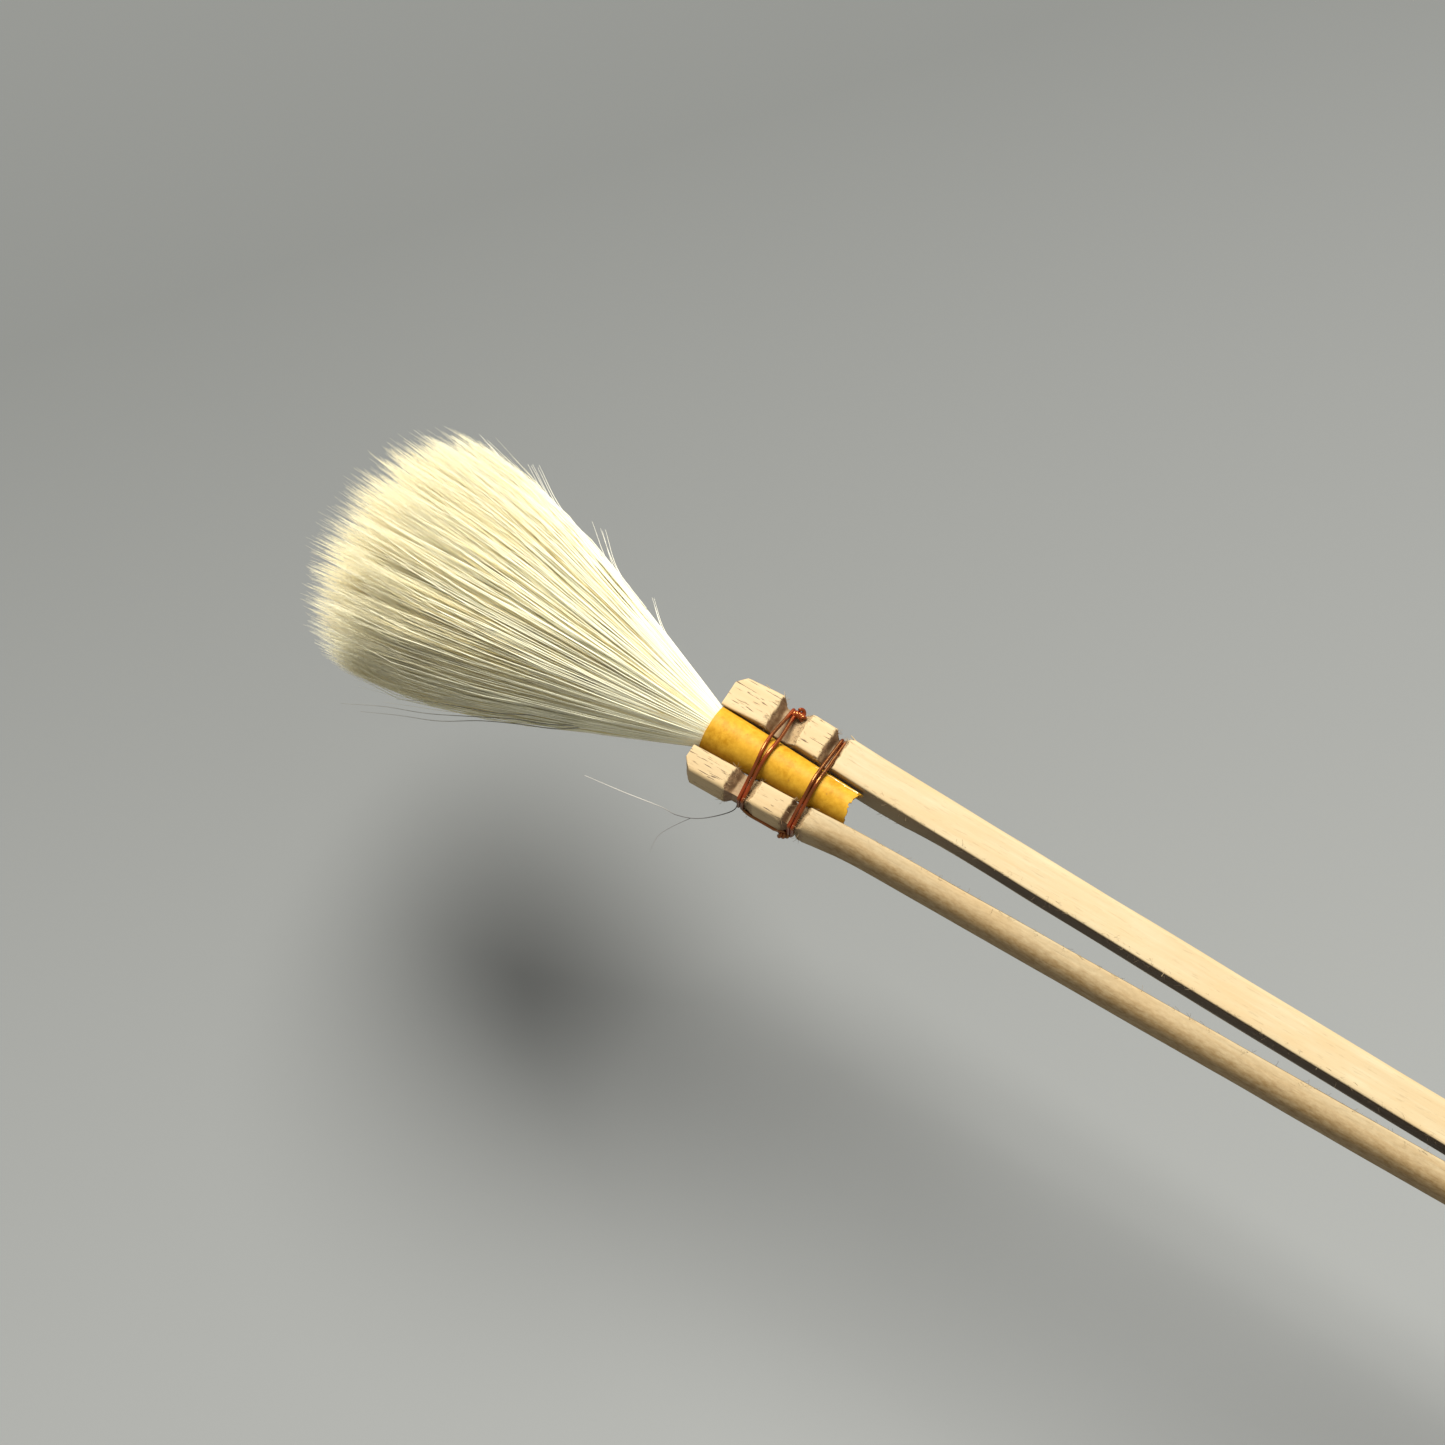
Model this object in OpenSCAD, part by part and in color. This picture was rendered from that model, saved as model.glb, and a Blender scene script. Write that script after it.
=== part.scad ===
// Calligraphy brush: a tuft of goat hair in a paper sleeve, held in the notched fork
// of a split wooden stick and bound there with two doubled ties of enamelled wire.
// +X runs from the stick's rear end to the hair tips, the fork lies flat in XY, +Z is up.
// The origin is the middle of the stick's rear end face, level with the sleeve's axis.

/* [Stick] */
// Length of the whole stick
handle_l = 203; // [180:1:230]
// Length of the split, from the fork's front
split_l = 172; // [150:1:175]
// Width of the saw cut where the split ends
kerf = 0.5; // [0.3:0.1:0.8]
// Height of the fork's upper faces above the sleeve's axis
top_z = 2.0; // [1.5:0.1:2.4]
// Width of the wide prong at its front
wide_front_w = 5.0; // [4.5:0.1:5.5]
// Width of the wide prong's half at the rear
wide_rear_w = 5.6; // [5:0.1:6.5]
// Height of the wide prong
wide_h = 5.6; // [5.2:0.1:6]
// Radius of the wide prong's outer corners
wide_corner_r = 0.8; // [0.5:0.1:1.2]
// Width of the narrow prong at its front
narrow_front_w = 3.1; // [2.9:0.1:3.6]
// Width of the narrow prong's half at the rear
narrow_rear_w = 4.5; // [4:0.1:5]
// Height of the narrow prong
narrow_h = 5.2; // [5:0.1:5.6]
// Radius of the narrow prong's outer corners
narrow_corner_r = 1.9; // [1.5:0.1:2.2]
// Radius of the corners beside the split
inner_corner_r = 0.3; // [0.2:0.05:0.4]

/* [Notches] */
// Distance from the fork's front to the first notch
notch_1_at = 5.7; // [5:0.1:6.5]
// Distance from the fork's front to the second notch
notch_2_at = 13.8; // [13:0.1:14.5]
// Depth of a notch in the upper and lower faces
notch_depth = 1.3; // [1:0.1:1.5]
// Depth of a notch in a prong's outer side
notch_side_depth = 0.6; // [0.5:0.1:0.8]
// Length of a notch's steep front wall
notch_front_run = 1.1; // [0.8:0.1:1.4]
// Length of a notch's flat floor, where the wire lies
notch_floor = 1.4; // [1.3:0.05:1.6]
// Length of a notch's sloping rear wall in the upper and lower faces
notch_rear_run = 1.4; // [1:0.1:1.8]
// Length of a notch's sloping rear wall in a prong's outer side
notch_side_run = 2.4; // [1.4:0.1:2.8]
// Length of the bevel at a prong's outer front corner
nose_bevel_l = 1.3; // [0.8:0.1:1.8]
// How far that bevel cuts in from the side
nose_bevel_w = 1.5; // [0.8:0.1:1.6]

/* [Sleeve] */
// Length of the rolled paper sleeve
sleeve_l = 21; // [18:0.5:24]
// Outer diameter of the sleeve at its mouth
sleeve_mouth_d = 6.5; // [6:0.1:7]
// Outer diameter of the sleeve at its rear
sleeve_rear_d = 4.95; // [4.5:0.05:5.4]
// Thickness of the rolled paper
paper_t = 0.3; // [0.2:0.05:0.4]
// Clearance between the sleeve and the prongs
grip_gap = 0.1; // [0.05:0.05:0.15]
// Depth of the hollow cut in the sleeve's rear edge
rear_scallop = 1.1; // [0.5:0.1:1.5]

/* [Hair] */
// Length of the free hair, from the sleeve's mouth
hair_l = 55.4; // [48:0.2:62]
// Radius of the hair at the mouth
mouth_hair_r = 2.9; // [2.6:0.1:3]
// Largest radius of the tuft
belly_r = 17.4; // [14:0.2:20]
// Distance from the mouth to the largest radius
belly_at = 45; // [42:0.5:46]
// Radius of the rounded end that the hair tips form
dome_r = 21; // [20:0.5:24]
// Share of the radius that the inner hair takes up
core_share = 0.6; // [0.5:0.05:0.7]
// Angle between the tuft and the stick, seen from above
tuft_lean = 0.9; // [0:0.1:2]

/* [Hair root] */
// Length of hair held in the sleeve
root_l = 16; // [14:0.5:17]
// Diameter of the thread wound round the root
thread_d = 0.4; // [0.3:0.05:0.5]
// Number of turns of thread
thread_turns = 6; // [4:1:8]

/* [Wire] */
// Diameter of the enamelled wire
wire_d = 0.5; // [0.4:0.05:0.55]
// Distance from the fork's front to the first tie
tie_1_at = 7.5; // [7.3:0.05:7.6]
// Distance from the fork's front to the second tie
tie_2_at = 15.6; // [15.4:0.05:15.7]
// Distance between the two strands of a tie
strand_gap = 0.6; // [0.45:0.05:0.65]
// Length of the twisted end of the front tie
knot_l = 1.9; // [1.4:0.1:2.4]
// Length of the twisted end of the rear tie
pigtail_l = 2.2; // [1.6:0.1:2.6]

/* [Hidden] */

mouth_x = handle_l - 0.4;
pivot_x = mouth_x + 3;
slack = 0.05;
wire_r = wire_d / 2;
mouth_gap = sleeve_mouth_d + 2 * grip_gap;
rear_gap = sleeve_rear_d + 2 * grip_gap;
grip_l = sleeve_l + 0.5;

// Gap between the prongs at s behind the fork's front: straight along the sleeve, then a
// bent prong's curve down to the saw cut where the split ends.
function bend(u) = 1 - 1.5 * u + 0.5 * pow(u, 3);
function gap(s) = s <= grip_l ? mouth_gap + (rear_gap - mouth_gap) * s / grip_l
                : s >= split_l ? kerf
                : kerf + (rear_gap - kerf) * bend((s - grip_l) / (split_l - grip_l));
function wide_w(s) = wide_front_w + (wide_rear_w - wide_front_w) * s / handle_l;
function narrow_w(s) = narrow_front_w + (narrow_rear_w - narrow_front_w) * s / handle_l;
function sleeve_r(s) = (sleeve_mouth_d + (sleeve_rear_d - sleeve_mouth_d) * s / sleeve_l) / 2;

// Radius of the tuft at t ahead of the mouth, and where its rounded end starts.
function flare(t) = let (u = t / belly_at)
    mouth_hair_r + (belly_r - mouth_hair_r) * (1.15 * u - 0.15 * pow(u, 7));
function dome(r) = hair_l - dome_r + sqrt(pow(dome_r, 2) - pow(r, 2));

// ---- Stick ----

// One prong's section: flat towards the split, rounded outside. y grows outwards.
corner_steps = 4;
function corner(y, z, r, from) =
    [for (i = [0 : corner_steps]) [y + r * cos(from + 90 * i / corner_steps),
                                   z + r * sin(from + 90 * i / corner_steps)]];
function section(w, h, r) = let (i = inner_corner_r) concat(
    corner(w - r, top_z - r, r, 0), corner(i, top_z - i, i, 90),
    corner(i, top_z - h + i, i, 180), corner(w - r, top_z - h + r, r, 270));

// Stations along a prong: close together at the bound end, wider apart behind it.
stations = concat([for (s = [0 : 3 : 21]) s], [for (i = [0 : 16]) grip_l + i * (split_l - grip_l) / 16],
                  [handle_l]);

// A closed solid through one ring of points per station.
module loft(rings) {
    n = len(rings[0]);
    m = len(rings);
    polyhedron(
        points = [for (ring = rings) each ring],
        faces = concat(
            [[for (j = [0 : n - 1]) j]],
            [[for (j = [n - 1 : -1 : 0]) (m - 1) * n + j]],
            [for (i = [0 : m - 2], j = [0 : n - 1]) let (k = (j + 1) % n)
                [i * n + k, i * n + j, (i + 1) * n + j]],
            [for (i = [0 : m - 2], j = [0 : n - 1]) let (k = (j + 1) % n)
                [i * n + k, (i + 1) * n + j, (i + 1) * n + k]]),
        convexity = 6);
}

module prong_blank(side, h, r, front_w, rear_w) {
    rings = [for (s = stations)
        [for (p = section(front_w + (rear_w - front_w) * s / handle_l, h, r))
            [handle_l - s, side * (gap(s) / 2 + p[0]), p[1]]]];
    loft(side > 0 ? [for (ring = rings) [for (j = [len(ring) - 1 : -1 : 0]) ring[j]]] : rings);
}

// One notch, its floor at y = depth, cut into a face at y = 0: a steep wall in front of the
// floor and a gentle one behind it.
module notch_cut(at, depth, rear_run, length) {
    over = 1;
    translate([handle_l - at, 0, 0])
        linear_extrude(length, center = true)
            polygon([[over * notch_front_run / depth, -over], [-notch_front_run, depth],
                     [-notch_front_run - notch_floor, depth],
                     [-notch_front_run - notch_floor - rear_run * (1 + over / depth), -over]]);
}

module prong_cuts(side, h, front_w, rear_w) {
    tall = 20;
    for (at = [notch_1_at, notch_2_at]) {
        outer_y = gap(at + 1.5) / 2 + front_w + (rear_w - front_w) * (at + 1.5) / handle_l;
        scale([1, side, 1])
            translate([0, outer_y, 0]) mirror([0, 1, 0])
                notch_cut(at, notch_side_depth, notch_side_run, tall);
        translate([0, side * tall / 2, top_z]) rotate([-90, 0, 0])
            notch_cut(at, notch_depth, notch_rear_run, tall - 1);
        translate([0, side * tall / 2, top_z - h]) rotate([90, 0, 0])
            notch_cut(at, notch_depth, notch_rear_run, tall - 1);
    }
    scale([1, side, 1])
        linear_extrude(tall, center = true)
            polygon([[handle_l - nose_bevel_l, gap(0) / 2 + front_w + 0.01],
                     [handle_l + 1, gap(0) / 2 + front_w - nose_bevel_w * (1 + 1 / nose_bevel_l)],
                     [handle_l + 1, gap(0) / 2 + front_w + 1],
                     [handle_l - nose_bevel_l, gap(0) / 2 + front_w + 1]]);
}

module prong(side, h, r, front_w, rear_w) {
    difference() {
        prong_blank(side, h, r, front_w, rear_w);
        prong_cuts(side, h, front_w, rear_w);
    }
}

module split_handle() {
    joined_l = handle_l - split_l;
    web_z = top_z - inner_corner_r - 0.1;
    web_h = narrow_h - 2 * (inner_corner_r + 0.1);
    web_w = kerf + 0.6;
    color("burlywood") {
        prong(-1, wide_h, wide_corner_r, wide_front_w, wide_rear_w);
        prong(1, narrow_h, narrow_corner_r, narrow_front_w, narrow_rear_w);
        translate([0, -web_w / 2, web_z - web_h]) cube([joined_l, web_w, web_h]);
    }
}

// ---- Sleeve, with the hair's root inside it ----

// Turns a profile of [distance behind the mouth, radius] points into a solid along X.
module turned(profile) {
    translate([mouth_x, 0, 0]) rotate([0, -90, 0])
        rotate_extrude($fn = 96) polygon([for (p = profile) [p[1], p[0]]]);
}

module paper_sleeve() {
    color("goldenrod")
        difference() {
            turned([[0, sleeve_r(0) - paper_t], [sleeve_l, sleeve_r(sleeve_l) - paper_t],
                    [sleeve_l, sleeve_r(sleeve_l)], [0, sleeve_r(0)]]);
            translate([mouth_x - sleeve_l, 0, 0])
                scale([rear_scallop / 2, 1, 1]) cylinder(h = 10, r = 2, $fn = 48);
        }
}

module seam_glue() {
    bead_r = 0.12;
    bead_l = 6.5;
    bead_end = sleeve_l - 0.4;
    seam_angle = 40;
    taper = atan((sleeve_mouth_d - sleeve_rear_d) / 2 / sleeve_l);
    color("white")
        rotate([seam_angle, 0, 0])
            translate([mouth_x - bead_end, 0, sleeve_r(bead_end) + bead_r + 0.02])
                rotate([0, -taper, 0]) rotate([0, 90, 0]) cylinder(h = bead_l, r = bead_r, $fn = 16);
}

root_gap = 0.08;
waist_at = root_l - 3.6;
function root_r(s) = sleeve_r(s) - paper_t - root_gap;

module hair_root() {
    waist_r = root_r(root_l) - thread_d;
    color("ivory")
        turned([[0.05, 0], [root_l, 0], [root_l, waist_r], [waist_at, waist_r],
                [waist_at - 0.6, root_r(waist_at - 0.6)], [0.05, root_r(0.05)]]);
}

module root_thread() {
    pitch = thread_d * 0.9;
    ring_r = root_r(root_l) - thread_d / 2 + 0.04;
    color("firebrick")
        translate([mouth_x, 0, 0]) rotate([0, -90, 0])
            rotate_extrude($fn = 96)
                for (i = [0 : thread_turns - 1])
                    translate([ring_r, waist_at + 0.5 + i * pitch]) circle(d = thread_d, $fn = 20);
}

module root_plug() {
    plug_l = sleeve_l - 1.3 - root_l;
    start = root_l + 0.05;
    color("saddlebrown")
        turned([[start, 0], [start + plug_l, 0], [start + plug_l - 0.3, root_r(start + plug_l) * 0.75],
                [start + plug_l - 0.8, root_r(start + plug_l - 0.8)], [start, root_r(start)]]);
}

// ---- Wire ties ----

// Path of a taut loop round circles [y, z, r], taken anticlockwise.
arc_steps = 4;
function leave(a, b) = let (d = [b[0] - a[0], b[1] - a[1]])
    atan2(d[1], d[0]) - acos((a[2] - b[2]) / norm(d));
function taut(pins) = [for (i = [0 : len(pins) - 1])
    let (p = pins[i], n = len(pins),
         from = leave(pins[(i + n - 1) % n], p),
         turn = leave(p, pins[(i + 1) % n]) - from,
         sweep = turn - 360 * floor(turn / 360))
    for (k = [0 : arc_steps]) let (a = from + sweep * k / arc_steps)
        [p[0] + p[2] * cos(a), p[1] + p[2] * sin(a)]];

// The pins that a tie at s bends round: two outer corners of each prong and the sleeve.
function tie_pins(s) = let (
        bend_r = 0.1,
        off = wire_r + slack,
        floor_up = top_z - notch_depth - bend_r,
        wide_y = gap(s) / 2 + wide_w(s) - notch_side_depth - bend_r,
        narrow_y = gap(s) / 2 + narrow_w(s) - notch_side_depth - bend_r)
    [[narrow_y, top_z - narrow_h + notch_depth + bend_r, bend_r + off],
     [narrow_y, floor_up, bend_r + off],
     [0, 0, sleeve_r(s) + off],
     [-wide_y, floor_up, bend_r + off],
     [-wide_y, top_z - wide_h + notch_depth + bend_r, bend_r + off],
     [0, 0.001, sleeve_r(s) + off]];

tube_sides = 8;
function ring_at(p, dir) =
    let (t = dir / norm(dir), up = abs(t[0]) > 0.9 ? [0, 0, 1] : [1, 0, 0],
         a = cross(t, up) / norm(cross(t, up)), b = cross(t, a))
    [for (k = [0 : tube_sides - 1]) let (w = 360 * k / tube_sides)
        p + wire_r * (cos(w) * a + sin(w) * b)];

// A round wire along a closed path of points.
module wire_loop(path) {
    n = len(path);
    rings = [for (i = [0 : n - 1]) ring_at(path[i], path[(i + 1) % n] - path[(i + n - 1) % n])];
    s = tube_sides;
    polyhedron(
        points = [for (ring = rings) each ring],
        faces = [for (i = [0 : n - 1], j = [0 : s - 1]) let (a = (i + 1) % n, k = (j + 1) % s)
            [a * s + j, a * s + k, i * s + k, i * s + j]],
        convexity = 6);
}

// A round wire along an open path of points.
module wire_run(path) {
    n = len(path);
    loft([for (i = [0 : n - 1]) ring_at(path[i], path[min(i + 1, n - 1)] - path[max(i - 1, 0)])]);
}

module tie_strands(s) {
    path = taut(tie_pins(s));
    for (side = [-1, 1])
        wire_loop([for (p = path) [handle_l - s + side * strand_gap / 2, p[0], p[1]]]);
}

// Two strands twisted round each other along +X from the origin.
twist_r = wire_r + 0.04;
module twisted_end(length, turns) {
    steps = 10 * turns;
    for (phase = [0, 180])
        wire_run([for (i = [0 : steps]) let (a = phase + 360 * turns * i / steps)
            [length * i / steps, twist_r * cos(a), twist_r * sin(a)]]);
}

// Where a prong's outer side lies at s behind the fork's front.
function wide_side(s) = gap(s) / 2 + wide_w(s);
function narrow_side(s) = gap(s) / 2 + narrow_w(s);
end_tilt = 25;
end_out = notch_side_depth - twist_r - wire_r - slack;

module front_tie() {
    color("sienna") {
        tie_strands(tie_1_at);
        translate([handle_l - tie_1_at, -wide_side(tie_1_at) + end_out, 0.7])
            rotate([0, 0, 180 + end_tilt]) twisted_end(knot_l, 2);
    }
}

// The rear tie's free end lies along the narrow prong's side, back to the front notch.
tail_z = -1.2;
tail = [[15.4, -0.3], [14.8, -0.15], [14.2, 0.12], [13.6, 0.36], [11.8, 0.35], [10, 0.33],
        [9, -0.05], [8.4, -0.2]];

module rear_tie() {
    color("sienna") {
        tie_strands(tie_2_at);
        translate([handle_l - tie_2_at, narrow_side(tie_2_at) - end_out, -2.2])
            rotate([0, 0, end_tilt]) twisted_end(pigtail_l, 2);
        wire_run([for (p = tail) [handle_l - p[0], narrow_side(p[0]) + p[1], tail_z]]);
    }
}

// ---- Tuft ----

// Outline of the hair inside a share of the flare, from t = start to the rounded end.
flare_steps = 14;
dome_steps = 8;
function edge(start, share, out) = let (stop = dome(share * belly_r + out))
    [for (i = [0 : flare_steps]) let (t = start + (min(stop, belly_at) - start) * i / flare_steps)
        [t, share * flare(t) + out]];
function cap(r_from, r_to) =
    [for (i = [0 : dome_steps]) let (r = r_from + (r_to - r_from) * i / dome_steps) [dome(r), r]];

// A profile of [distance ahead of the mouth, radius] turned about the leaning tuft's axis.
module turned_tuft(profile) {
    translate([pivot_x, 0, 0]) rotate([0, 0, tuft_lean]) translate([mouth_x - pivot_x, 0, 0])
        rotate([0, 90, 0]) rotate_extrude($fn = 96) polygon([for (p = profile) [p[1], p[0]]]);
}

layer_gap = 0.1;
ball_r = 2.8;
ball_t = pivot_x - mouth_x;
neck_angle = 20;
layers_at = ball_t + 1;
core_r = core_share * belly_r;

module tuft_core() {
    ball = [for (a = [-90 : 10 : neck_angle]) [ball_t + ball_r * sin(a), ball_r * cos(a)]];
    color("cornsilk")
        turned_tuft(concat(ball, edge(layers_at, core_share, 0), cap(core_r, 0)));
}

module tuft_cover() {
    inner = edge(layers_at, core_share, layer_gap);
    color("ivory")
        turned_tuft(concat(
            edge(layers_at, 1, 0), cap(belly_r, core_r + layer_gap),
            [for (i = [len(inner) - 1 : -1 : 0]) inner[i]]));
}

split_handle();
paper_sleeve();
seam_glue();
hair_root();
root_thread();
root_plug();
front_tie();
rear_tie();
tuft_core();
tuft_cover();
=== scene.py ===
import math
import random

import bmesh
import bpy
import numpy as np
from mathutils import Matrix, Vector, noise


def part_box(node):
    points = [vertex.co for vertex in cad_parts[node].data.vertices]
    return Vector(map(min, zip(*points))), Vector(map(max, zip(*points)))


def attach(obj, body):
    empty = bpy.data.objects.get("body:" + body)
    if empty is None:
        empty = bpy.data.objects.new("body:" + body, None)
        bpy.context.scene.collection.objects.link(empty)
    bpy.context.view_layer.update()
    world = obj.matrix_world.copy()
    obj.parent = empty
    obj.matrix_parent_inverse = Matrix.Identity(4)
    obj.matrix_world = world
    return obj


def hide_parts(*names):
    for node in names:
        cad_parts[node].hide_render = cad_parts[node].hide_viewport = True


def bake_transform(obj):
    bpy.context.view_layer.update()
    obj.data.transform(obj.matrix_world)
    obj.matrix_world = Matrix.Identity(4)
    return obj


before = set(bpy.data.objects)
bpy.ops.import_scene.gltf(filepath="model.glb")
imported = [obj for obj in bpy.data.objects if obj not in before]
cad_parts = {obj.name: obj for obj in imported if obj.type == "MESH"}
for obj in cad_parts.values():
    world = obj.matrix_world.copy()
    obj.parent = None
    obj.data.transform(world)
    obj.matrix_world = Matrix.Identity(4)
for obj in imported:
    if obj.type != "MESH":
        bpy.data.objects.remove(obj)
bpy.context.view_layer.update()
MM = 0.001

# The brush as it is laid out: the stick runs along X from its rear end to the fork's front,
# and the paper sleeve's mouth, where the hair leaves it, is just behind that front.
fork_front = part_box("split_handle")[1].x
sleeve_low, sleeve_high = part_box("paper_sleeve")
mouth = Vector((sleeve_high.x, 0, 0))


# ---- Camera, light and floor ----
# A camera that looks down on the flat of the fork, a big soft lamp on the far side of it,
# and a pale sheet some way below, on which the shadow falls clear of the brush. The sheet's colour is painted
# light: darker on one side, lighter on the other.
view_elevation = math.radians(70)
view_heading = math.radians(122)
view_distance = 0.45
view_width = 0.1843
towards = Vector((math.cos(view_elevation) * math.cos(view_heading),
                  math.cos(view_elevation) * math.sin(view_heading), math.sin(view_elevation)))
turn = towards.to_track_quat("Z", "Y")
aim = mouth + turn @ Vector((1.3 * MM, 0.7 * MM, 0))
camera_data = bpy.data.cameras.new("camera")
camera_data.sensor_width = 36
camera_data.lens = camera_data.sensor_width * view_distance / view_width
camera = bpy.data.objects.new("camera", camera_data)
camera.location = aim + towards * view_distance
camera.rotation_euler = turn.to_euler()
bpy.context.scene.collection.objects.link(camera)
bpy.context.scene.camera = camera


def soft_lamp(name, heading, elevation, distance, size, power, tint):
    lamp_data = bpy.data.lights.new(name, "AREA")
    lamp_data.shape = "DISK"
    lamp_data.size = size
    lamp_data.energy = power
    lamp_data.color = tint
    lamp = bpy.data.objects.new(name, lamp_data)
    way = Vector((math.cos(elevation) * math.cos(heading), math.cos(elevation) * math.sin(heading),
                  math.sin(elevation)))
    lamp.location = mouth + way * distance
    lamp.rotation_euler = way.to_track_quat("Z", "Y").to_euler()
    bpy.context.scene.collection.objects.link(lamp)


soft_lamp("key_lamp", view_heading + math.radians(188), math.radians(53), 1.8, 1.15, 77,
          (1.0, 0.975, 0.92))
world = bpy.data.worlds.new("studio")
world.use_nodes = True
world.node_tree.nodes["Background"].inputs["Color"].default_value = (1.0, 0.98, 0.95, 1)
world.node_tree.nodes["Background"].inputs["Strength"].default_value = 0.41
bpy.context.scene.world = world
bpy.context.scene.view_settings.view_transform = "Standard"

floor_drop = 54 * MM
floor_half = 9.0
painted_light_heading = math.radians(142)
floor_mesh = bpy.data.meshes.new("floor")
floor_mesh.from_pydata([(-floor_half, -floor_half, -floor_drop), (floor_half, -floor_half, -floor_drop),
                        (floor_half, floor_half, -floor_drop), (-floor_half, floor_half, -floor_drop)],
                       [], [(0, 1, 2, 3)])
floor = bpy.data.objects.new("floor", floor_mesh)
bpy.context.scene.collection.objects.link(floor)
# Painted light on the sheet: its colour runs from a darker tone to a lighter one along one heading, as a
# painted brighter pool and falloff.
floor_painted_light = bpy.data.materials.new("floor_painted_light")
floor_painted_light.use_nodes = True
floor_tree = floor_painted_light.node_tree
floor_place = floor_tree.nodes.new("ShaderNodeTexCoord")
floor_turn = floor_tree.nodes.new("ShaderNodeMapping")
floor_turn.inputs["Rotation"].default_value = (0, 0, -painted_light_heading)
floor_split = floor_tree.nodes.new("ShaderNodeSeparateXYZ")
painted_light_share = floor_tree.nodes.new("ShaderNodeMapRange")
painted_light_share.inputs["From Min"].default_value = -0.27
painted_light_share.inputs["From Max"].default_value = -0.07
painted_floor_light = floor_tree.nodes.new("ShaderNodeMix")
painted_floor_light.data_type = "RGBA"
painted_floor_light.inputs[6].default_value = (0.118, 0.124, 0.122, 1)
painted_floor_light.inputs[7].default_value = (0.236, 0.245, 0.243, 1)
floor_tree.links.new(floor_place.outputs["Object"], floor_turn.inputs["Vector"])
floor_tree.links.new(floor_turn.outputs[0], floor_split.inputs[0])
floor_tree.links.new(floor_split.outputs[0], painted_light_share.inputs["Value"])
floor_tree.links.new(painted_light_share.outputs[0], painted_floor_light.inputs[0])
floor_tree.links.new(painted_floor_light.outputs[2], floor_tree.nodes["Principled BSDF"].inputs["Base Color"])
floor_tree.nodes["Principled BSDF"].inputs["Roughness"].default_value = 0.9
floor_mesh.materials.append(floor_painted_light)


# ---- Split stick ----
# A twin stick of pale soft wood, split for most of its length into a wide prong and a narrow
# one. Each is notched round with a knife in two places near its front, where the wire lies.
top_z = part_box("split_handle")[1].z
kerf = 0.5 * MM
split_at = 172 * MM
grip_end = 21.5 * MM
mouth_gap = 6.7 * MM
rear_gap = 5.15 * MM
# A notch row holds where it starts, then the lengths of its front wall, floor and rear wall, in mm.
prongs = {
    "wide": dict(side=-1, front=5.0 * MM, rear=5.6 * MM, high=5.6 * MM, bend=0.8 * MM,
                 swell=0.0, set_out=0.0, toe_in=0.55 * MM, side_depth=1.0 * MM,
                 notches=((6.2, 1.1, 2.1, 1.4), (14.2, 0.9, 0.7, 0.7))),
    "narrow": dict(side=1, front=3.1 * MM, rear=4.5 * MM, high=5.2 * MM, bend=1.9 * MM,
                   swell=0.35 * MM, set_out=0.25 * MM, toe_in=0.0, side_depth=0.5 * MM,
                   notches=((6.2, 1.1, 1.9, 0.8), (14.5, 0.7, 1.3, 0.8))),
}
notch_depth = 1.3 * MM
side_run_more = 0.6 * MM
swell_start, swell_end = 14 * MM, 26 * MM
toe_end = 6.6 * MM
bevel_long = 1.3 * MM
bevel_wide = 1.5 * MM
inner_bend = 0.3 * MM
sleeve_long = sleeve_high.x - sleeve_low.x
mouth_r = sleeve_high.z
rear_r = 2.475 * MM


def sleeve_radius(s):
    return mouth_r + (rear_r - mouth_r) * s / sleeve_long


def gap_at(s):
    if s <= grip_end:
        return mouth_gap + (rear_gap - mouth_gap) * s / grip_end
    u = min((s - grip_end) / (split_at - grip_end), 1)
    return kerf + (rear_gap - kerf) * (1 - 1.5 * u + 0.5 * u ** 3)


def notch_at(s, spec, gap_shade, more=0.0):
    cut, end_grain_and_shade = 0, 0
    for row in spec["notches"]:
        start, front_run, floor_run, rear_run = [value * MM for value in row]
        back = rear_run + more
        rise = (s - start) / front_run
        fall = (start + front_run + floor_run + back - s) / back
        if min(rise, fall) > 0:
            cut = gap_shade * min(rise, 1, fall)
            # End grain is darker; the weights also differ by wall, most on the wall facing the rear, less on
            # the floor, least on the wall facing the tuft. That spread is painted shade.
            end_grain_and_shade = 1.0 if rise < 1 else 0.75 if fall > 1 else 0.45
    return cut, end_grain_and_shade


def fade(s, start, end):
    u = max(0, min(1, (s - start) / (end - start)))
    return 1 - u * u * (3 - 2 * u)


def prong_width(s, spec):
    widening = (spec["rear"] - spec["front"]) * s / fork_front
    return spec["front"] + widening + spec["swell"] * fade(s, swell_start, swell_end)


def prong_inside(s, spec):
    set_out = spec["set_out"] * fade(s, swell_start, swell_end)
    return gap_at(s) / 2 + set_out - spec["toe_in"] * fade(s, 0, toe_end)


def prong_edge(s, spec):
    return prong_inside(s, spec) + prong_width(s, spec)


def section(width, high, bend, under):
    points = []
    corners = ((width - bend, top_z - bend, bend, 0, 7),
               (inner_bend, top_z - inner_bend, inner_bend, 90, 3),
               (under, top_z - high + under, under, 180, 5),
               (width - bend, top_z - high + bend, bend, 270, 7))
    flats = (9, 8, 9, 6)
    rounds = [[(y + r * math.cos(math.radians(a0 + 90 * i / n)),
                z + r * math.sin(math.radians(a0 + 90 * i / n))) for i in range(n + 1)]
              for y, z, r, a0, n in corners]
    for k, arc in enumerate(rounds):
        points += arc
        last, following = arc[-1], rounds[(k + 1) % 4][0]
        points += [(last[0] + (following[0] - last[0]) * i / flats[k],
                    last[1] + (following[1] - last[1]) * i / flats[k]) for i in range(1, flats[k])]
    return points


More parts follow.
